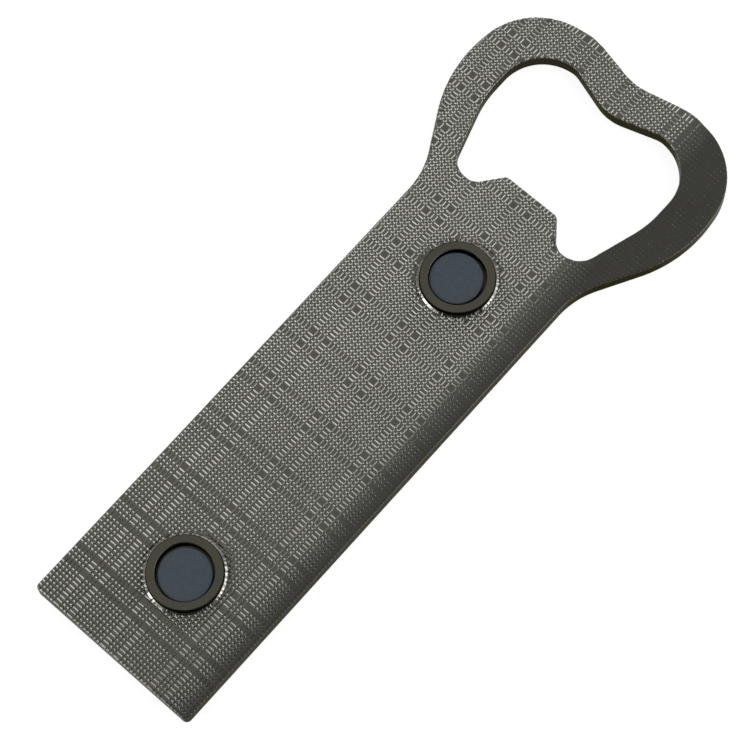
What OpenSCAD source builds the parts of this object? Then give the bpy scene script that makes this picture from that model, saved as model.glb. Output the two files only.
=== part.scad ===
// Souvenir bottle opener with two fridge magnets: a flat die-cast plate with a
// heart-shaped head, a cap-lifting tooth in the head's opening, two magnet cups
// on the back and a soft-enamel picture on the front.
// Millimetres. X is across the opener, +Y points to the head, +Z points out of
// the back. The front lies on Z = 0, and the origin is under the middle of the box.

/* [Casting] */
// Length from the handle's end to the corner line of the head's lobes
length = 140; // [132:1:150]
// Width of the straight handle
handle_w = 35; // [32:1:38]
// Width across the head
head_w = 54; // [53:1:58]
// Thickness of the cast plate
plate_t = 3; // [2.8:0.1:4]
// Radius of the two corners at the handle's end
end_r = 1; // [0.5:0.25:3]

/* [Opening] */
// Width of the opening, which takes a crown cap
opening_w = 38; // [36:0.5:39]
// Width of the tooth's flat tip
tooth_w = 11.6; // [9:0.2:13]
// How far the tooth stands up from the bottoms of the two side dips
tooth_h = 4.9; // [4.5:0.1:6]

/* [Magnets] */
// Diameter of each disc magnet
magnet_d = 9.6; // [8:0.1:10.5]
// Thickness of each disc magnet
magnet_t = 2; // [1.5:0.1:2.2]
// Gap all round a magnet that sits in the middle of its cup
cup_gap = 0.35; // [0.3:0.05:0.6]
// How far each magnet lies below the top of its ring
magnet_drop = 0.5; // [0.1:0.05:0.6]
// Thickness of the glue under each magnet
glue_t = 0.15; // [0.1:0.05:0.3]
// Direction in which the lower magnet sits off centre, in degrees from +X
lower_lean = -38; // [-180:1:180]
// Direction in which the upper magnet sits off centre, in degrees from +X
upper_lean = 221; // [0:1:360]

/* [Cup rings] */
// Height of the rings above the back
ring_h = 1.2; // [0.9:0.1:2]
// Width of a ring's flat top
ring_w = 1.5; // [1:0.1:2]
// How much wider a ring's foot is than its top, on each side
ring_flare = 0.6; // [0.3:0.05:1.2]
// How far both rings' centres lie to the right of the middle of the width
ring_x = 0.3; // [-1:0.1:1]
// Distance from the handle's end to the lower ring's centre
lower_ring_y = 18.5; // [14:0.1:24]
// Distance from the handle's end to the upper ring's centre
upper_ring_y = 88.8; // [60:0.1:90]

/* [Front picture] */
// Width of the metal rim along the outline and round the opening
rim_w = 1.4; // [1:0.1:1.8]
// Width of the metal lines between two colours
line_w = 0.6; // [0.4:0.1:0.8]
// Depth of the cast pockets
pocket_d = 0.6; // [0.4:0.05:0.8]
// How far the enamel stays below the metal lines
enamel_drop = 0.15; // [0.1:0.05:0.25]
// Distance from the handle's end to the waterline
sea_top = 28; // [24:1:30]
// Radius of the sun
sun_r = 9; // [7:0.5:10]

/* [Hidden] */
$fn = 96;
// Largest turn between two points of a corner arc, in degrees
arc_step = 5;
// Overshoot of a cutter past the face that it opens
over = 1;
// Half side of a square that covers the whole picture
cover = 200;

cup_r = magnet_d / 2 + cup_gap;
ring_top_r = cup_r + ring_w;
ring_foot_r = ring_top_r + ring_flare;
back_z = plate_t;
ring_top_z = back_z + ring_h;
magnet_z = ring_top_z - magnet_drop - magnet_t;
cup_floor_z = magnet_z - glue_t;
// The glue is squeezed this far up round the magnet
glue_up = 0.4;
// A magnet takes up this share of the gap when it sits off centre
lean_share = 0.75;
lean = cup_gap * lean_share;

// Corners of the right half of the outline, [x, y, radius], from the end to the axis
outline_half = [
    [handle_w / 2, 0, end_r],                   // end corner
    [handle_w / 2, length - 39.8, 16],          // neck
    [head_w / 2 + 0.6, length - 22, 26],        // cheek
    [head_w / 2 - 1.4, length - 2.5, 13.6],     // shoulder of the lobe
    [11.4, length, 11.6],                       // top of the lobe
    [0, length - 2.6, 11]                       // dip between the lobes
];

// Height of the side dips' bottoms and of the tooth's tip above the handle's end
dip_y = length - 35.7;
tooth_y = dip_y + tooth_h;

// Corners of the right half of the opening, from the tooth to the axis
opening_half = [
    [tooth_w / 2, tooth_y, 1.4],                // corner of the tooth
    [tooth_w / 2 + 3.9, dip_y, 3],              // foot of the tooth
    [opening_w / 2 - 4.4, dip_y + 0.3, 4.3],    // outer corner of the dip
    [opening_w / 2 - 0.1, length - 21.8, 20],   // widest place
    [opening_w / 2, length - 8.4, 8.9],         // shoulder of the lobe
    [10, length - 7, 4.7],                      // top of the lobe
    [0, length - 10.2, 9.2]                     // dip between the lobes
];

// Both halves of a symmetric outline, running round it once
function both_halves(half) = concat(half,
    [for (i = [len(half) - 1:-1:0]) if (half[i][0] > 0) [-half[i][0], half[i][1], half[i][2]]]);

function xy(p) = [p[0], p[1]];
function unit(v) = v / norm(v);
function cross_z(u, w) = u[0] * w[1] - u[1] * w[0];

// The points of the arc of radius r that rounds the corner b between a and c
function corner_arc(a, b, c, r) =
    let (u = unit(a - b), w = unit(c - b), half = acos(u * w) / 2)
    let (centre = b + unit(u + w) * r / sin(half), from = b + u * r / tan(half) - centre)
    let (turn = (cross_z(u, w) < 0 ? 1 : -1) * (180 - 2 * half))
    let (steps = ceil(abs(turn) / arc_step), start = atan2(from[1], from[0]))
    [for (i = [0:steps]) centre + r * [cos(start + turn * i / steps), sin(start + turn * i / steps)]];

// A polygon's points with every corner rounded by its own radius
function rounded(corners) =
    let (n = len(corners))
    [for (i = [0:n - 1])
        each corner_arc(xy(corners[(i + n - 1) % n]), xy(corners[i]), xy(corners[(i + 1) % n]),
                        corners[i][2])];

// The same corners moved by d to the left of the outline's direction of travel
function moved(corners, d) =
    let (n = len(corners))
    [for (i = [0:n - 1])
        let (b = xy(corners[i]))
        let (u = unit(xy(corners[(i + n - 1) % n]) - b), w = unit(xy(corners[(i + 1) % n]) - b))
        let (left_turn = cross_z(u, w) < 0, side = left_turn ? 1 : -1)
        let (p = b + unit(u + w) * side * d / sin(acos(u * w) / 2))
        [p[0], p[1], max(0.2, corners[i][2] - side * d)]];

outline = both_halves(outline_half);
opening = both_halves(opening_half);
outline_ys = [for (p = rounded(outline)) p[1]];
mid_y = (max(outline_ys) + min(outline_ys)) / 2;

// Everything is drawn from the handle's end and then moved over the origin
module placed() {
    translate([0, -mid_y, 0]) children();
}

// ---- casting ----

module plate() {
    linear_extrude(plate_t) difference() {
        polygon(rounded(outline));
        polygon(rounded(opening));
    }
}

module ring_at(y) {
    translate([ring_x, y, back_z]) cylinder(r1 = ring_foot_r, r2 = ring_top_r, h = ring_h);
}

module cup_at(y) {
    translate([ring_x, y, cup_floor_z]) cylinder(r = cup_r, h = ring_top_z - cup_floor_z + over);
}

module body() {
    color("#4b4b45") placed() difference() {
        union() {
            plate();
            ring_at(lower_ring_y);
            ring_at(upper_ring_y);
        }
        cup_at(lower_ring_y);
        cup_at(upper_ring_y);
        pocket() sea_shape();
        pocket() wave_shape();
        pocket() near_hill_shape();
        pocket() far_hill_shape();
        pocket() sun_shape();
        pocket() glow_shape();
        pocket() mid_sky_shape();
        pocket() upper_sky_shape();
        pocket() star_shape();
    }
}

// ---- magnets ----

module disc_magnet(y, direction) {
    translate([ring_x + lean * cos(direction), y + lean * sin(direction), magnet_z])
        cylinder(d = magnet_d, h = magnet_t);
}

// A film under the magnet and the bead that it squeezes up the cup's wall
module glue(y, direction) {
    difference() {
        translate([ring_x, y, cup_floor_z]) cylinder(r = cup_r, h = glue_t + glue_up);
        disc_magnet(y, direction);
    }
}

module lower_magnet() {
    color("#454d57") placed() disc_magnet(lower_ring_y, lower_lean);
}

module upper_magnet() {
    color("#3f4852") placed() disc_magnet(upper_ring_y, upper_lean);
}

module lower_magnet_glue() {
    color("#8d8672") placed() glue(lower_ring_y, lower_lean);
}

module upper_magnet_glue() {
    color("#8d8672") placed() glue(upper_ring_y, upper_lean);
}

// ---- front picture ----

// A pocket in the front for one colour, and the enamel that fills it
module pocket() {
    translate([0, 0, -over]) linear_extrude(over + pocket_d) children();
}

module enamel() {
    placed() translate([0, 0, enamel_drop]) linear_extrude(pocket_d - enamel_drop) children();
}

// Centre of the sun and of the sky's arcs
sun_at = [0, 60];
// Outer radii of the glow round the sun and of the middle sky
glow_r = 14;
mid_sky_r = 34;
// Each hill is the top of a large circle, [x, y, radius]
near_hill = [10, sea_top - 20, 34];
far_hill = [-12, sea_top - 10, 32];
// Wave crests, [x of the middle, distance below the waterline, length]
waves = [[-9, 4.5, 7], [7, 6.5, 9], [-3, 11.5, 8], [11, 14, 5], [-11.5, 17, 6], [10.5, 21, 8], [-6, 23.5, 7]];
wave_t = 1.2;
// Stars on the right half of the head and on the axis
stars = [[0, length - 40.5], [10.5, length - 42.5], [22.8, length - 17], [11, length - 3.7]];
star_r = 0.8;

// The part of the front inside the metal rims
module field() {
    difference() {
        polygon(rounded(moved(outline, rim_w)));
        polygon(rounded(moved(opening, -rim_w)));
    }
}

module above(y) {
    translate([-cover / 2, y]) square([cover, cover]);
}

module below(y) {
    translate([-cover / 2, y - cover]) square([cover, cover]);
}

module hill_circle(hill, grow = 0) {
    translate([hill[0], hill[1]]) circle(hill[2] + grow);
}

module sun_circle(r) {
    translate(sun_at) circle(r);
}

// Round-ended bars, each longer and wider by grow on every side
module wave_bars(grow = 0) {
    for (w = waves) translate([w[0], sea_top - w[1]]) {
        square([w[2] - wave_t, wave_t + 2 * grow], center = true);
        for (side = [-1, 1]) translate([side * (w[2] - wave_t) / 2, 0]) circle(wave_t / 2 + grow);
    }
}

module star_dots(grow = 0) {
    for (s = stars, side = s[0] > 0 ? [-1, 1] : [1])
        translate([side * s[0], s[1]]) circle(star_r + grow);
}

module sea_shape() {
    difference() {
        intersection() {
            field();
            below(sea_top);
        }
        wave_bars(line_w);
    }
}

module wave_shape() {
    wave_bars();
}

module near_hill_shape() {
    intersection() {
        field();
        above(sea_top + line_w);
        hill_circle(near_hill);
    }
}

module far_hill_shape() {
    difference() {
        intersection() {
            field();
            above(sea_top + line_w);
            hill_circle(far_hill);
        }
        hill_circle(near_hill, line_w);
    }
}

module sun_shape() {
    sun_circle(sun_r);
}

// The sky between two arcs round the sun, down to the hills
module sky_between(r_in, r_out) {
    difference() {
        intersection() {
            field();
            above(sea_top);
            sun_circle(r_out);
        }
        sun_circle(r_in + line_w);
        hill_circle(near_hill, line_w);
        hill_circle(far_hill, line_w);
    }
}

module glow_shape() {
    sky_between(sun_r, glow_r);
}

module mid_sky_shape() {
    sky_between(glow_r, mid_sky_r);
}

module upper_sky_shape() {
    difference() {
        field();
        sun_circle(mid_sky_r + line_w);
        below(sun_at[1]);
        star_dots(line_w);
    }
}

module star_shape() {
    star_dots();
}

module sea_enamel() {
    color("#1f5f8c") enamel() sea_shape();
}

module wave_enamel() {
    color("#e8eef0") enamel() wave_shape();
}

module near_hill_enamel() {
    color("#2f6b3a") enamel() near_hill_shape();
}

module far_hill_enamel() {
    color("#5b9a68") enamel() far_hill_shape();
}

module sun_enamel() {
    color("#f2c230") enamel() sun_shape();
}

module glow_enamel() {
    color("#ee8a3a") enamel() glow_shape();
}

module mid_sky_enamel() {
    color("#6fb6d6") enamel() mid_sky_shape();
}

module upper_sky_enamel() {
    color("#23407c") enamel() upper_sky_shape();
}

module star_enamel() {
    color("#f4f0dc") enamel() star_shape();
}

body();
lower_magnet();
upper_magnet();
lower_magnet_glue();
upper_magnet_glue();
sea_enamel();
wave_enamel();
near_hill_enamel();
far_hill_enamel();
sun_enamel();
glow_enamel();
mid_sky_enamel();
upper_sky_enamel();
star_enamel();
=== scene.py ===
import math

import bpy
import numpy as np
from mathutils import Matrix, Vector
from mathutils.geometry import delaunay_2d_cdt


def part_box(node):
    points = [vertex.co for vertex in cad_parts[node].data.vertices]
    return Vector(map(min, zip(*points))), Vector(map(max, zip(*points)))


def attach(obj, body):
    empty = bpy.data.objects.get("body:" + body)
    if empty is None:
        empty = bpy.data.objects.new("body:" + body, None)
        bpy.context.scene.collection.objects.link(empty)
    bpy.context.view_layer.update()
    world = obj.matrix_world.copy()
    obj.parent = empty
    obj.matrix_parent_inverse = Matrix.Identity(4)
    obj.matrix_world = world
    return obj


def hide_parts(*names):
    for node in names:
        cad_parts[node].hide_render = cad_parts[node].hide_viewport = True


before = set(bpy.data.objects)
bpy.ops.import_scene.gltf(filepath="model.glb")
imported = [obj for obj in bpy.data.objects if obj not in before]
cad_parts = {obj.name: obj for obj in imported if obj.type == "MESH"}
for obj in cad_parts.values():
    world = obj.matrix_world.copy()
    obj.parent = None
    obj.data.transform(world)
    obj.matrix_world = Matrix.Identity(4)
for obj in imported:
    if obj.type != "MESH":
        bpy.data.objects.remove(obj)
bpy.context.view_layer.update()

MM = 0.001

# ---- places and sizes, in millimetres, with y measured from the handle's end ----

body_lo, body_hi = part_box("body")
END_Y = body_lo.y / MM                      # row-frame y of the handle's end
RING_TOP_Z = body_hi.z / MM
HALF_HANDLE = 17.5
HALF_HEAD = 27.0
HALF_OPENING = 19.0
HALF_TOOTH = 5.8
LENGTH = 140.0
BACK_Z = 3.0
DIP_Y = LENGTH - 35.7
TOOTH_Y = DIP_Y + 4.9

# The outlines' corners on the right half, as (x, y, radius), the same as the CAD body's
OUTLINE_HALF = [
    (HALF_HANDLE, 0, 1), (HALF_HANDLE, LENGTH - 39.8, 16), (HALF_HEAD + 0.6, LENGTH - 22, 26),
    (HALF_HEAD - 1.4, LENGTH - 2.5, 13.6), (11.4, LENGTH, 11.6), (0, LENGTH - 2.6, 11),
]
OPENING_HALF = [
    (HALF_TOOTH, TOOTH_Y, 1.4), (HALF_TOOTH + 3.9, DIP_Y, 3), (HALF_OPENING - 4.4, DIP_Y + 0.3, 4.3),
    (HALF_OPENING - 0.1, LENGTH - 21.8, 20), (HALF_OPENING, LENGTH - 8.4, 8.9),
    (10, LENGTH - 7, 4.7), (0, LENGTH - 10.2, 9.2),
]

EDGE_R = 0.25                               # rounding of the casting's outer edges
EDGE_STEPS = 4
ARC_STEP = math.radians(2)

# The cup rings on the back
GLUES = {"lower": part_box("lower_magnet_glue"), "upper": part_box("upper_magnet_glue")}
CUP_R = (GLUES["lower"][1].x - GLUES["lower"][0].x) / 2 / MM
RING_TOP_R = CUP_R + 1.5
RING_FOOT_R = RING_TOP_R + 0.6
RING_EDGE_R = 0.16                          # rounding of the rings' top edges
CUP_FLOOR_Z = GLUES["lower"][0].z / MM
RING_SIDES = 144

# Material slots of the casting, all the same plating: the plain one; a near-black copy on the steep walls
# and cup bores that paints shade and a dark reflection; a lighter, glossier copy on the rings' feet that
# paints a glint; and a darker copy on the ring tops and the right side's edge that paints shade
PLAIN, PAINTED_DARK_WALL, PAINTED_GLINT, PAINTED_SHADE = range(4)

# The plaid relief of the back: cells a unit wide and wide cells of two units, in a row
# that repeats. A V groove runs between all cells, both ways.
PITCH = 0.782
WIDE, NARROW = 2, 1
REPEAT = [WIDE, NARROW, NARROW, WIDE] + [NARROW] * 8
RELIEF_TURN = math.radians(0.24)            # the grid is cast slightly askew, clockwise
RELIEF_AT = (-1.42, 87.0)                   # where a wide row crosses a wide column
GROOVE_HALF = 0.2
GROOVE_DEPTH = 0.125
GROOVE_JITTER = 0.02
# The relief grows shallow towards a smooth margin that follows the right side
MARGIN_X, MARGIN_LEAN, MARGIN_FADE, MARGIN_SHARE = 15.1, -0.012, 7.5, 0.3

# The picture's pockets in the front, and the enamel in them
ENAMELS = [n + "_enamel" for n in
           ("sea", "wave", "near_hill", "far_hill", "sun", "glow", "mid_sky", "upper_sky", "star")]
POCKET_FLOOR_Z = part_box("sun_enamel")[1].z / MM
LINE_EDGE_R = 0.06                          # rounding of the metal lines' edges
MENISCUS_W, MENISCUS_RISE = 0.22, 0.06      # the enamel creeps up the pockets' walls


# ---- outlines ----

def both_halves(half):
    return list(half) + [(-x, y, r) for x, y, r in reversed(half) if x > 0]


def rounded(corners, step=ARC_STEP):
    """Points and outward normals of a polygon that runs anticlockwise, its corners rounded."""
    points, normals = [], []
    for i, (x, y, r) in enumerate(corners):
        b = np.array((x, y), float)
        before = np.array(corners[i - 1][:2], float) - b
        after = np.array(corners[(i + 1) % len(corners)][:2], float) - b
        before /= np.linalg.norm(before)
        after /= np.linalg.norm(after)
        half = math.acos(np.clip(before @ after, -1, 1)) / 2
        bisector = (before + after) / np.linalg.norm(before + after)
        centre = b + bisector * r / math.sin(half)
        side = -1 if before[0] * after[1] - before[1] * after[0] > 0 else 1
        start = b + before * r / math.tan(half) - centre
        turn = side * (math.pi - 2 * half)
        steps = max(2, math.ceil(abs(turn) / step))
        for k in range(steps + 1):
            a = math.atan2(start[1], start[0]) + turn * k / steps
            ray = np.array((math.cos(a), math.sin(a)))
            points.append(centre + r * ray)
            normals.append(ray * side)
    return np.array(points), np.array(normals)


def circle(centre, radius, sides=RING_SIDES):
    a = np.arange(sides) * 2 * math.pi / sides
    rays = np.column_stack((np.cos(a), np.sin(a)))
    return np.array(centre) + radius * rays, rays


def inside(points, loop):
    """Whether each point lies inside a closed loop, by counting crossings."""
    found = np.zeros(len(points), bool)
    ends = np.roll(loop, -1, axis=0)
    for (x0, y0), (x1, y1) in zip(loop, ends):
        if y0 != y1:
            spans = (points[:, 1] < y0) != (points[:, 1] < y1)
            x = x0 + (points[spans, 1] - y0) * (x1 - x0) / (y1 - y0)
            found[np.flatnonzero(spans)[points[spans, 0] < x]] ^= True
    return found


# ---- the relief's grid ----

def boundaries(lo, hi, mirrored):
    """Places of the grooves between lo and hi, in units, counted from the middle of a wide cell."""
    edges = np.cumsum([0] + REPEAT)[:-1] - WIDE / 2
    if mirrored:
        edges = -edges
    period = sum(REPEAT)
    first, last = math.floor(lo / period) - 1, math.ceil(hi / period) + 1
    places = np.sort(np.concatenate([edges + period * n for n in range(first, last + 1)]))
    return places[(places >= lo) & (places <= hi)]


COS_T, SIN_T = math.cos(RELIEF_TURN), math.sin(RELIEF_TURN)


def to_grid(points):
    """From millimetres on the back to millimetres along the relief's own directions."""
    d = np.asarray(points) - RELIEF_AT
    return np.column_stack((COS_T * d[:, 0] - SIN_T * d[:, 1], SIN_T * d[:, 0] + COS_T * d[:, 1]))


def from_grid(uv):
    uv = np.asarray(uv)
    x = COS_T * uv[:, 0] + SIN_T * uv[:, 1]
    y = -SIN_T * uv[:, 0] + COS_T * uv[:, 1]
    return np.column_stack((x, y)) + RELIEF_AT


# No groove is cut quite in its place
DICE = np.random.default_rng(7)
GROOVES_U = boundaries(-60, 60, False) * PITCH
GROOVES_V = boundaries(-130, 90, True) * PITCH
GROOVES_U += DICE.uniform(-GROOVE_JITTER, GROOVE_JITTER, len(GROOVES_U))
GROOVES_V += DICE.uniform(-GROOVE_JITTER, GROOVE_JITTER, len(GROOVES_V))


def groove_lines(places):
    """Each groove's two brinks and its bottom line."""
    return np.sort(np.concatenate([places - GROOVE_HALF, places, places + GROOVE_HALF]))


def nearness(values, places):
    """1 on a groove's bottom line, falling to 0 at its brinks."""
    i = np.clip(np.searchsorted(places, values), 1, len(places) - 1)
    gap = np.minimum(abs(values - places[i - 1]), abs(values - places[i]))
    return np.clip(1 - gap / GROOVE_HALF, 0, 1)


def depth_at(points):
    uv = to_grid(points)
    u, v = nearness(uv[:, 0], GROOVES_U), nearness(uv[:, 1], GROOVES_V)
    points = np.asarray(points)
    x, y = points[:, 0], points[:, 1]
    uneven = np.sin(1.9 * x + 0.7 * y) * np.sin(2.6 * y - 1.1 * x) + 0.7 * np.sin(0.6 * y + 1.3 * x)
    into = np.clip((x - MARGIN_X - MARGIN_LEAN * y + 0.45 * uneven) / MARGIN_FADE + 0.5, 0, 1)
    share = 1 + 0.05 * uneven - (1 - MARGIN_SHARE) * into * into * (3 - 2 * into)
    return GROOVE_DEPTH * share * (1 - (1 - u) * (1 - v))


def with_crossings(points, normals, inset):
    """The loop with more points where its inset copy crosses a line of the relief."""
    uv = to_grid(points - normals * inset)
    lines = [groove_lines(GROOVES_U), groove_lines(GROOVES_V)]
    out_p, out_n = [], []
    count = len(points)
    for i in range(count):
        j = (i + 1) % count
        cuts = [0.0]
        for axis in (0, 1):
            a, b = uv[i, axis], uv[j, axis]
            lo, hi = min(a, b), max(a, b)
            hits = lines[axis][(lines[axis] > lo) & (lines[axis] < hi)]
            cuts += list((hits - a) / (b - a)) if b != a else []
        cuts = sorted(cuts)
        kept = [cuts[0]]
        span = np.linalg.norm(points[j] - points[i])
        for t in cuts[1:]:
            if (t - kept[-1]) * span > 0.03 and (1 - t) * span > 0.03:
                kept.append(t)
        for t in kept:
            n = normals[i] * (1 - t) + normals[j] * t
            out_p.append(points[i] * (1 - t) + points[j] * t)
            out_n.append(n / np.linalg.norm(n))
    return np.array(out_p), np.array(out_n)


# ---- mesh building ----

class Builder:
    """Collects points and faces, in millimetres from the handle's end."""

    def __init__(self):
        self.points, self.faces, self.count, self.slots = [], [], 0, []

    def add(self, xy, z):
        xy = np.asarray(xy, float)
        z = np.broadcast_to(z, len(xy))
        self.points.append(np.column_stack((xy, z)))
        self.count += len(xy)
        return np.arange(self.count - len(xy), self.count)

    def strip(self, a, b, flip=False, slot=PLAIN):
        """Quads between two closed rows of as many points; slot is one number or one for each quad."""
        slots = np.broadcast_to(slot, len(a))
        self.slots += [(len(self.faces) + int(i), int(slots[i])) for i in np.flatnonzero(slots)]
        for i in range(len(a)):
            j = (i + 1) % len(a)
            quad = (a[i], a[j], b[j], b[i])
            self.faces.append(quad[::-1] if flip else quad)

    def mesh(self, name):
        co = np.concatenate(self.points)
        co[:, 1] += END_Y
        mesh = bpy.data.meshes.new(name)
        mesh.from_pydata((co * MM).tolist(), [], [tuple(int(i) for i in f) for f in self.faces])
        for i, slot in self.slots:
            mesh.polygons[i].material_index = slot
        mesh.validate()
        return mesh


def fill(builder, loops, ids, keep, flip=False, extra=None, extra_ids=None, fixed_edges=(), new_z=0.0):
    """Triangles between closed loops of points that the builder already has; new points get new_z."""
    points = [p for loop in loops for p in loop] + (list(extra) if extra is not None else [])
    names = [i for row in ids for i in row] + (list(extra_ids) if extra_ids is not None else [])
    edges, at = list(fixed_edges), 0
    for loop in loops:
        n = len(loop)
        edges += [(at + i, at + (i + 1) % n) for i in range(n)]
        at += n
    out = delaunay_2d_cdt([Vector(p) for p in points], edges, [], 0, 1e-6)
    verts, faces, origins = out[0], out[2], out[3]
    flat = np.array([tuple(v) for v in verts])
    tris = np.array([f for f in faces if len(f) == 3])
    middle = flat[tris].mean(axis=1)
    known = [names[row[0]] if row else None for row in origins]
    for tri in tris[keep(middle)]:
        a, b, c = flat[tri]
        area = (b[0] - a[0]) * (c[1] - a[1]) - (b[1] - a[1]) * (c[0] - a[0])
        if abs(area) < 1e-7:
            continue
        for v in tri:
            if known[v] is None:
                known[v] = builder.add([flat[v]], new_z)[0]
        face = [known[v] for v in tri]
        if (area > 0) == flip:
            face.reverse()
        if len(set(face)) == 3:
            builder.faces.append(tuple(face))


# ---- the casting ----

def relief(builder, outer, opening, rings):
    """The back's surface between the loops, which are (points, ids) pairs."""
    lines_u, lines_v = groove_lines(GROOVES_U), groove_lines(GROOVES_V)
    nu, nv = len(lines_u), len(lines_v)
    uv = np.stack(np.meshgrid(lines_u, lines_v, indexing="ij"), axis=-1).reshape(-1, 2)
    xy = from_grid(uv)
    clear = 0.1

    def shrunk(points, by):
        step = np.roll(points, -1, axis=0) - np.roll(points, 1, axis=0)
        step /= np.linalg.norm(step, axis=1)[:, None]
        return points + np.column_stack((-step[:, 1], step[:, 0])) * by

    good = inside(xy, shrunk(outer[0], clear)) & ~inside(xy, shrunk(opening[0], -clear))
    for points, _ in rings:
        middle = points.mean(axis=0)
        radius = np.linalg.norm(points[0] - middle)
        good &= np.linalg.norm(xy - middle, axis=1) > radius + clear
    good = good.reshape(nu, nv)
    cell = good[:-1, :-1] & good[1:, :-1] & good[:-1, 1:] & good[1:, 1:]

    ids = np.full((nu, nv), -1)
    chosen = xy.reshape(nu, nv, 2)[good]
    ids[good] = builder.add(chosen, BACK_Z - depth_at(chosen))

    deep_u, deep_v = nearness(lines_u, GROOVES_U) > 0.5, nearness(lines_v, GROOVES_V) > 0.5
    wall_u = deep_u[:-1] | deep_u[1:]
    wall_v = deep_v[:-1] | deep_v[1:]
    for i, j in np.argwhere(cell):
        a, b, c, d = ids[i, j], ids[i + 1, j], ids[i + 1, j + 1], ids[i, j + 1]
        if wall_u[i] and wall_v[j]:
            # The corner of a cell: the flat corner and the crossing lie on one diagonal
            if deep_u[i] == deep_v[j]:
                builder.faces += [(a, b, d), (b, c, d)]
            else:
                builder.faces += [(a, b, c), (a, c, d)]
        else:
            builder.faces.append((a, b, c, d))

    # The strip between the whole cells and the loops
    uses = np.zeros((nu, nv), int)
    for di in (0, 1):
        for dj in (0, 1):
            uses[di:nu - 1 + di, dj:nv - 1 + dj] += cell
    rim = good & (uses < 4)
    rim_ids = np.full((nu, nv), -1)
    loops = [outer[0], opening[0]] + [points for points, _ in rings]
    base = sum(len(loop) for loop in loops)
    rim_ids[rim] = base + np.arange(rim.sum())
    padded = np.pad(cell, 1)
    edges = []
    for i, j in np.argwhere(padded[1:-1, 1:] != padded[1:-1, :-1]):
        edges.append((rim_ids[i, j], rim_ids[i + 1, j]))
    for i, j in np.argwhere(padded[1:, 1:-1] != padded[:-1, 1:-1]):
        edges.append((rim_ids[i, j], rim_ids[i, j + 1]))

    def between(middle):
        place = to_grid(middle)
        i = np.clip(np.searchsorted(lines_u, place[:, 0]) - 1, 0, nu - 2)
        j = np.clip(np.searchsorted(lines_v, place[:, 1]) - 1, 0, nv - 2)
        found = inside(middle, outer[0]) & ~inside(middle, opening[0]) & ~cell[i, j]
        for points, _ in rings:
            found &= ~inside(middle, points)
        return found

    fill(builder, loops, [outer[1], opening[1]] + [row for _, row in rings], between,
         extra=xy.reshape(nu, nv, 2)[rim], extra_ids=ids[rim],
         fixed_edges=[(int(a), int(b)) for a, b in edges])


def rounded_edge(builder, points, normals, z, up, depth=0.0):
    """Rows of points round an edge, from the flat face (inset) to the wall, with the relief depth deep."""
    rows = []
    for k in range(EDGE_STEPS + 1):
        a = math.pi / 2 * k / EDGE_STEPS
        out, rise = math.sin(a), math.cos(a)
        sunk = depth * (1 - 0.6 * k / EDGE_STEPS)
        shift = -EDGE_R + (EDGE_R - sunk) * out
        xy = points + normals * np.reshape(shift, (-1, 1))
        rows.append(builder.add(xy, z + up * (-EDGE_R + (EDGE_R - sunk) * rise)))
    return rows


def outline_wall(builder, corners, is_hole):
    """One outline's rounded edges and wall; gives back its loops on the back and on the front."""
    points, normals = rounded(corners)
    if is_hole:
        normals = -normals
    points, normals = with_crossings(points, normals, EDGE_R)
    top_points = points - normals * EDGE_R
    top = rounded_edge(builder, points, normals, BACK_Z, 1, depth_at(top_points))
    bottom = rounded_edge(builder, points, normals, 0, -1)
    rows = top + bottom[::-1]
    # Painted shade: the rounding rows on the outer outline's right side get the darker plating, and the
    # walls get the near-black plating, which also paints a dark reflection
    painted_shade_side = np.logical_and(normals[:, 0] > 0.2, not is_hole)
    for k, (upper, lower) in enumerate(zip(rows, rows[1:])):
        slot = PAINTED_DARK_WALL if k >= EDGE_STEPS - 1 else painted_shade_side * PAINTED_SHADE if k else PLAIN
        builder.strip(upper, lower, flip=not is_hole, slot=slot)
    return (top_points, top[0]), (points - normals * EDGE_R, bottom[0])


def ring_profile():
    """(radius, height above the back, share of the relief still there) from foot to cup floor."""
    rise = RING_TOP_Z - BACK_Z
    profile = [(RING_FOOT_R, 0, 1), (RING_FOOT_R - 0.08, rise * 0.025, 0.7),
               (RING_FOOT_R - 0.24, rise * 0.105, 0.3), (RING_FOOT_R - 0.42, rise * 0.205, 0),
               (RING_TOP_R + RING_EDGE_R * 0.5, rise - RING_EDGE_R, 0)]
    for k in range(1, 5):
        a = (1 - k / 4) * math.radians(50)
        profile.append((RING_TOP_R - RING_EDGE_R * (1 - math.sin(a) * 1.3),
                        rise - RING_EDGE_R * (1 - math.cos(a)), 0))
    inner = CUP_R + RING_EDGE_R
    profile.append((inner, rise, 0))
    for k in range(1, 4):
        a = math.pi / 2 * k / 3
        profile.append((inner - RING_EDGE_R * math.sin(a), rise - RING_EDGE_R * (1 - math.cos(a)), 0))
    profile.append((CUP_R, CUP_FLOOR_Z - BACK_Z, 0))
    return profile


def cup_ring(builder, centre):
    """A flared ring with its blind cup; gives back its foot loop."""
    points, rays = circle(centre, RING_FOOT_R)
    points, rays = with_crossings(points, rays, 0)
    rays /= np.linalg.norm(rays, axis=1)[:, None]
    points = np.array(centre) + rays * RING_FOOT_R
    depth = depth_at(points)
    rows = []
    for radius, rise, share in ring_profile():
        rows.append(builder.add(np.array(centre) + rays * radius, BACK_Z + rise - depth * share))
    # Painted light on the ring: a lighter plating on the foot paints a glint, a near-black plating on the
    # steep wall and in the cup's bore paints shade, and a darker plating on the top paints shade
    slots = [PLAIN, PAINTED_GLINT, PAINTED_GLINT, PAINTED_DARK_WALL, PAINTED_DARK_WALL, PAINTED_DARK_WALL] + [PAINTED_SHADE] * (len(rows) - 8) + [PAINTED_DARK_WALL]
    for lower, upper, slot in zip(rows, rows[1:], slots):
        builder.strip(lower, upper, slot=slot)
    builder.faces.append(tuple(rows[-1]))
    return points, rows[0]


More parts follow.
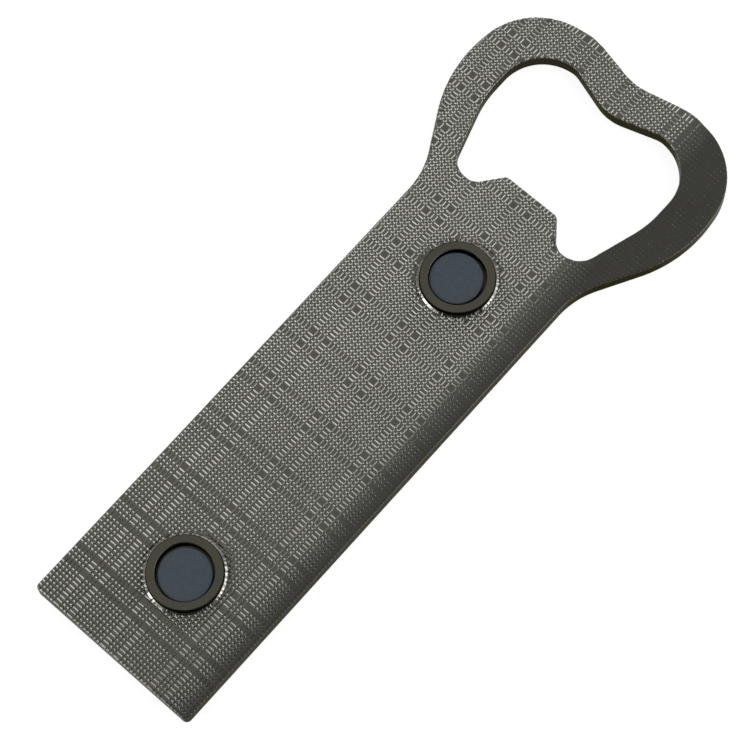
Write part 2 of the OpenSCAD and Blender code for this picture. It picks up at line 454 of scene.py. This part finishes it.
def node_loops(name):
    """The outlines of a CAD enamel fill, as (points, outward normals); its own area lies inside."""
    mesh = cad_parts[name].data
    co = np.array([tuple(v.co) for v in mesh.vertices]) / MM
    low = co[:, 2].min() + 0.01
    weld = {}
    for i, place in enumerate(co):
        weld.setdefault(tuple(np.round(place, 4)), i)
    first = [weld[tuple(np.round(place, 4))] for place in co]
    edges = set()
    for face in mesh.polygons:
        if co[list(face.vertices), 2].max() < low:
            ring = [first[v] for v in face.vertices]
            edges |= set(zip(ring, ring[1:] + ring[:1]))
    after = {a: b for a, b in edges if (b, a) not in edges}
    loops = []
    while after:
        start, b = after.popitem()
        loop = [start]
        while b != start:
            loop.append(b)
            b = after.pop(b)
        points = co[loop][:, :2] - (0, END_Y)
        gap = np.linalg.norm(points - np.roll(points, 1, axis=0), axis=1)
        points = points[gap > 0.02]
        loops.append(points[::-1])
    return [(points, outward(points)) for points in loops]


def outward(points):
    """Unit normals to the right of a closed loop's direction of travel."""
    along = np.roll(points, -1, axis=0) - points
    along /= np.linalg.norm(along, axis=1)[:, None]
    mean = along + np.roll(along, 1, axis=0)
    mean /= np.maximum(np.linalg.norm(mean, axis=1)[:, None], 1e-9)
    return np.column_stack((mean[:, 1], -mean[:, 0]))


def odd(points, loops):
    found = np.zeros(len(points), bool)
    for loop in loops:
        found ^= inside(points, loop)
    return found


POCKETS = {name: node_loops(name) for name in ENAMELS}


def pocket_walls(builder):
    """The pockets' rounded edges, walls and floors; gives back their edge loops on the front."""
    edge_loops, edge_ids = [], []
    for loops in POCKETS.values():
        floors, floor_ids = [], []
        for points, normals in loops:
            rows = []
            for k in range(3):
                a = math.pi / 4 * k
                rows.append(builder.add(points + normals * LINE_EDGE_R * (1 - math.sin(a)),
                                        LINE_EDGE_R * (1 - math.cos(a))))
            rows.append(builder.add(points, POCKET_FLOOR_Z))
            for low, high in zip(rows, rows[1:]):
                builder.strip(low, high, flip=True)
            edge_loops.append(points + normals * LINE_EDGE_R)
            edge_ids.append(rows[0])
            floors.append(points)
            floor_ids.append(rows[-1])
        fill(builder, floors, floor_ids, lambda m: odd(m, floors), flip=True, new_z=POCKET_FLOOR_Z)
    return edge_loops, edge_ids


def build_enamel(name):
    """One colour's fill, a slightly hollow glossy face and a flat bottom on the pocket's floor."""
    builder = Builder()
    loops = POCKETS[name]
    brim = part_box(name)[0].z / MM
    face, face_ids, bottom, bottom_ids = [], [], [], []
    for points, normals in loops:
        rows = [builder.add(points, POCKET_FLOOR_Z), builder.add(points, brim - MENISCUS_RISE)]
        for k in (1, 2, 3):
            t = k / 3
            rows.append(builder.add(points - normals * MENISCUS_W * t,
                                    brim - MENISCUS_RISE * (1 - t) ** 2))
        for high, low in zip(rows, rows[1:]):
            builder.strip(high, low)
        face.append(points - normals * MENISCUS_W)
        face_ids.append(rows[-1])
        bottom.append(points)
        bottom_ids.append(rows[0])
    fill(builder, face, face_ids, lambda m: odd(m, face), flip=True, new_z=brim)
    fill(builder, bottom, bottom_ids, lambda m: odd(m, bottom), new_z=POCKET_FLOOR_Z)
    return builder.mesh(name)


def build_magnet(name):
    """A pressed ferrite disc with chamfered edges and a fine turned dish in its face."""
    lo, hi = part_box(name)
    centre = ((lo.x + hi.x) / 2 / MM, (lo.y + hi.y) / 2 / MM - END_Y)
    radius, z0, z1 = (hi.x - lo.x) / 2 / MM, lo.z / MM, hi.z / MM
    builder = Builder()
    profile = [(radius - 0.2, z0), (radius, z0 + 0.2), (radius, z1 - 0.22), (radius - 0.06, z1 - 0.1),
               (radius - 0.16, z1 - 0.03), (radius - 0.3, z1), (radius * 0.8, z1 - 0.004),
               (radius * 0.5, z1 - 0.008), (radius * 0.2, z1 - 0.01)]
    rows = [builder.add(circle(centre, r)[0], z) for r, z in profile]
    for low, high in zip(rows, rows[1:]):
        builder.strip(low, high)
    builder.faces.append(tuple(rows[-1]))
    builder.faces.append(tuple(rows[0][::-1]))
    return builder.mesh(name)


def build_casting():
    builder = Builder()
    outer_back, outer_front = outline_wall(builder, both_halves(OUTLINE_HALF), False)
    hole_back, hole_front = outline_wall(builder, both_halves(OPENING_HALF), True)
    rings = []
    for name in ("lower", "upper"):
        lo, hi = GLUES[name]
        rings.append(cup_ring(builder, ((lo.x + hi.x) / 2 / MM, (lo.y + hi.y) / 2 / MM - END_Y)))
    relief(builder, outer_back, hole_back, rings)
    edge_loops, edge_ids = pocket_walls(builder)
    front = [outer_front[0], hole_front[0]] + edge_loops
    fill(builder, front, [outer_front[1], hole_front[1]] + edge_ids, lambda m: odd(m, front), flip=True)
    return builder.mesh("casting")


# ---- materials ----

def material(name):
    mat = bpy.data.materials.new(name)
    mat.use_nodes = True
    return mat, mat.node_tree.nodes, mat.node_tree.links, mat.node_tree.nodes["Principled BSDF"]


def node(nodes, kind, **settings):
    made = nodes.new(kind)
    for key, value in settings.items():
        setattr(made, key, value)
    return made


def noise(mat, scale, detail=3.0, roughness=0.6, stretch=(1, 1, 1)):
    """A noise that stays with the piece; gives back its 0 to 1 output."""
    nodes, links = mat.node_tree.nodes, mat.node_tree.links
    place = node(nodes, "ShaderNodeTexCoord")
    mapping = node(nodes, "ShaderNodeMapping")
    mapping.inputs["Scale"].default_value = stretch
    links.new(place.outputs["Object"], mapping.inputs["Vector"])
    texture = node(nodes, "ShaderNodeTexNoise")
    texture.inputs["Scale"].default_value = scale
    texture.inputs["Detail"].default_value = detail
    texture.inputs["Roughness"].default_value = roughness
    links.new(mapping.outputs["Vector"], texture.inputs["Vector"])
    return texture.outputs["Fac"]


def spread(mat, value, low, high, start=0.3, end=0.7):
    """Maps a 0 to 1 value from start..end to low..high."""
    ramp = node(mat.node_tree.nodes, "ShaderNodeMapRange")
    for key, number in (("From Min", start), ("From Max", end), ("To Min", low), ("To Max", high)):
        ramp.inputs[key].default_value = number
    mat.node_tree.links.new(value, ramp.inputs["Value"])
    return ramp.outputs["Result"]


def mixed(mat, factor, first, second):
    mix = node(mat.node_tree.nodes, "ShaderNodeMix", data_type="RGBA")
    mix.inputs["A"].default_value = (*first, 1)
    mix.inputs["B"].default_value = (*second, 1)
    mat.node_tree.links.new(factor, mix.inputs["Factor"])
    return mix.outputs["Result"]


def bumped(mat, shader, height, strength, distance):
    bump = node(mat.node_tree.nodes, "ShaderNodeBump")
    bump.inputs["Strength"].default_value = strength
    bump.inputs["Distance"].default_value = distance
    mat.node_tree.links.new(height, bump.inputs["Height"])
    mat.node_tree.links.new(bump.outputs["Normal"], shader.inputs["Normal"])


def metal_material(name, light, dark, roughness, edge_tint=(1, 1, 1)):
    """Black-nickel plating: faint cloudy tone, uneven gloss and fine casting grain."""
    mat, nodes, links, shader = material(name)
    shader.inputs["Metallic"].default_value = 1
    cloudy = spread(mat, noise(mat, 140, 4), 0, 1)
    place = node(nodes, "ShaderNodeTexCoord")
    across = node(nodes, "ShaderNodeSeparateXYZ")
    links.new(place.outputs["Object"], across.inputs["Vector"])
    margin = spread(mat, across.outputs["X"], 1, 0.54, 0.0115, 0.017)    # darker towards the right side
    tone = node(nodes, "ShaderNodeMix", data_type="RGBA", blend_type="MULTIPLY")
    tone.inputs["Factor"].default_value = 1
    links.new(mixed(mat, cloudy, light, dark), tone.inputs["A"])
    links.new(margin, tone.inputs["B"])
    links.new(tone.outputs["Result"], shader.inputs["Base Color"])
    links.new(spread(mat, noise(mat, 900, 3), roughness[0], roughness[1]), shader.inputs["Roughness"])
    shader.inputs["Specular Tint"].default_value = (*edge_tint, 1)
    bumped(mat, shader, noise(mat, 5200, 2), 0.25, 0.00003)
    return mat


def ferrite_material():
    """Ground blue-grey ferrite: powdery speckle, faint streaks of the grinding."""
    mat, _, links, shader = material("ferrite")
    links.new(mixed(mat, spread(mat, noise(mat, 1800, 4, 0.7), 0, 1), (0.09, 0.124, 0.154),
                    (0.124, 0.162, 0.197)), shader.inputs["Base Color"])
    links.new(spread(mat, noise(mat, 700, 3), 0.42, 0.6), shader.inputs["Roughness"])
    bumped(mat, shader, noise(mat, 2600, 2, stretch=(1, 0.15, 1)), 0.2, 0.00002)
    return mat


def enamel_material(name, colour):
    """Baked soft enamel: glossy, with slight pooling of the pigment."""
    mat, _, links, shader = material(name)
    deeper = tuple(c * 0.82 for c in colour)
    links.new(mixed(mat, spread(mat, noise(mat, 260, 3), 0, 1), colour, deeper), shader.inputs["Base Color"])
    links.new(spread(mat, noise(mat, 1200, 2), 0.12, 0.22), shader.inputs["Roughness"])
    shader.inputs["Coat Weight"].default_value = 0.35
    shader.inputs["Coat Roughness"].default_value = 0.06
    bumped(mat, shader, noise(mat, 420, 1), 0.15, 0.00006)
    return mat


def glue_material():
    """Cured epoxy: yellowish, a little cloudy."""
    mat, _, links, shader = material("epoxy")
    links.new(mixed(mat, spread(mat, noise(mat, 900, 2), 0, 1), (0.4, 0.37, 0.28), (0.3, 0.27, 0.19)),
              shader.inputs["Base Color"])
    links.new(spread(mat, noise(mat, 2000, 2), 0.15, 0.3), shader.inputs["Roughness"])
    return mat


def piece(name, mesh, mat, slot, *nodes):
    obj = bpy.data.objects.new(name, mesh)
    bpy.context.scene.collection.objects.link(obj)
    mesh.materials.append(mat)
    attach(obj, "root")
    if nodes:
        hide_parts(*nodes)
    return obj


# In the order of the casting's slots
plating = [
    metal_material("black_nickel", (0.315, 0.317, 0.286), (0.28, 0.282, 0.254), (0.2, 0.29)),
    # Near-black copy for the walls and bores: painted shade and a painted dark reflection, with a dark tint
    # at grazing angles too
    metal_material("black_nickel_painted_dark_wall", (0.034, 0.034, 0.029), (0.026, 0.026, 0.022), (0.28, 0.36),
                   (0.45, 0.45, 0.4)),
    # Lighter, glossier copy for the rings' feet: a painted glint
    metal_material("black_nickel_painted_glint", (0.56, 0.56, 0.5), (0.48, 0.48, 0.42), (0.12, 0.17)),
    # Darker copy for the ring tops and the right side's edge: painted shade
    metal_material("black_nickel_painted_shade", (0.235, 0.232, 0.184), (0.213, 0.21, 0.166), (0.2, 0.27)),
]
casting = piece("casting", build_casting(), plating[PLAIN], "casting", "body")
for mat in plating[1:]:
    casting.data.materials.append(mat)

ferrite = ferrite_material()
for name in ("lower_magnet", "upper_magnet"):
    piece(name + "_disc", build_magnet(name), ferrite, "magnet", name)

COLOURS = {
    "sea_enamel": ("sea_blue", (0.02, 0.13, 0.3)),
    "wave_enamel": ("wave_white", (0.78, 0.82, 0.82)),
    "near_hill_enamel": ("near_hill_green", (0.03, 0.17, 0.06)),
    "far_hill_enamel": ("far_hill_green", (0.12, 0.34, 0.16)),
    "sun_enamel": ("sun_yellow", (0.85, 0.52, 0.05)),
    "glow_enamel": ("glow_orange", (0.78, 0.22, 0.06)),
    "mid_sky_enamel": ("mid_sky_blue", (0.18, 0.46, 0.66)),
    "upper_sky_enamel": ("upper_sky_blue", (0.02, 0.06, 0.22)),
    "star_enamel": ("star_cream", (0.85, 0.8, 0.66)),
}
for name, (slot, colour) in COLOURS.items():
    piece(name + "_fill", build_enamel(name), enamel_material(slot, colour), slot, name)

epoxy = glue_material()
for name in ("lower_magnet_glue", "upper_magnet_glue"):
    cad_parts[name].data.materials.clear()
    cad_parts[name].data.materials.append(epoxy)

# ---- stage, light and camera ----

def add_object(name, data, location=(0, 0, 0)):
    obj = bpy.data.objects.new(name, data)
    bpy.context.scene.collection.objects.link(obj)
    obj.location = location
    return obj


floor_mesh = bpy.data.meshes.new("floor")
floor_mesh.from_pydata([(-3, -3, 0), (3, -3, 0), (3, 3, 0), (-3, 3, 0)], [], [(0, 1, 2, 3)])
floor_mat, _, _, floor_shader = material("floor")
floor_shader.inputs["Base Color"].default_value = (0.6, 0.6, 0.6, 1)
floor_shader.inputs["Roughness"].default_value = 0.9
floor_shader.inputs["Emission Color"].default_value = (1, 1, 1, 1)
floor_shader.inputs["Emission Strength"].default_value = 0.85
floor_mesh.materials.append(floor_mat)
floor = add_object("floor", floor_mesh)

world = bpy.data.worlds.new("studio")
bpy.context.scene.world = world
world.use_nodes = True
# An even grey room, with a dark corner low behind the camera
room = world.node_tree
place = room.nodes.new("ShaderNodeTexCoord")
towards = room.nodes.new("ShaderNodeVectorMath")
towards.operation = "DOT_PRODUCT"
towards.inputs[1].default_value = (0.563, -0.52, 0.643)
dark = room.nodes.new("ShaderNodeMapRange")
dark.inputs["From Min"].default_value = 0.66
dark.inputs["From Max"].default_value = 0.84
tone = room.nodes.new("ShaderNodeMix")
tone.data_type = "RGBA"
tone.inputs["A"].default_value = (0.278, 0.271, 0.264, 1)
tone.inputs["B"].default_value = (0.025, 0.025, 0.024, 1)
room.links.new(place.outputs["Generated"], towards.inputs[0])
room.links.new(towards.outputs["Value"], dark.inputs["Value"])
room.links.new(dark.outputs["Result"], tone.inputs["Factor"])
room.links.new(tone.outputs["Result"], room.nodes["Background"].inputs["Color"])


def softbox(name, azimuths, elevations, distance, radiance):
    """A rectangular light that faces the object and fills the given angles, azimuth from +X towards +Y."""
    azimuth, elevation = (math.radians(sum(pair) / 2) for pair in (azimuths, elevations))
    half_width, half_height = (math.radians(pair[1] - pair[0]) / 2 for pair in (azimuths, elevations))
    light = bpy.data.lights.new(name, "AREA")
    light.shape = "RECTANGLE"
    light.size = 2 * distance * math.tan(half_width) * math.cos(elevation)
    light.size_y = 2 * distance * math.tan(half_height)
    light.energy = radiance * math.pi * light.size * light.size_y
    place = Vector((math.cos(azimuth) * math.cos(elevation), math.sin(azimuth) * math.cos(elevation),
                    math.sin(elevation)))
    obj = add_object(name, light, place * distance)
    obj.rotation_mode = "QUATERNION"
    obj.rotation_quaternion = place.to_track_quat("Z", "Y")


softbox("left_softbox", (222, 257), (20, 46), 0.8, 2.3)
softbox("right_softbox", (13, 72), (25, 48), 0.8, 1.8)
softbox("back_fill", (95, 165), (4, 24), 0.8, 0.3)
softbox("low_fill", (-20, 62), (6, 26), 0.9, 0.5)

# The camera looks down on the back from the right, at the point AIM
AZIMUTH, ELEVATION, ROLL = math.radians(47.3), math.radians(71.55), math.radians(-6.06)
DISTANCE = 0.4842
AIM = Vector((-0.2, END_Y + 66.278, BACK_Z)) * MM
back = Vector((math.sin(AZIMUTH) * math.cos(ELEVATION), -math.cos(AZIMUTH) * math.cos(ELEVATION),
               math.sin(ELEVATION)))
camera_data = bpy.data.cameras.new("camera")
camera_data.lens, camera_data.sensor_width = 136.05, 36
camera = add_object("camera", camera_data)
turn = back.to_track_quat("Z", "Y").to_matrix() @ Matrix.Rotation(ROLL, 3, "Z")
camera.matrix_world = Matrix.Translation(AIM + back * DISTANCE) @ turn.to_4x4()
camera_data.clip_start, camera_data.clip_end = 0.01, 20
bpy.context.scene.camera = camera
bpy.context.scene.view_settings.view_transform = "Standard"
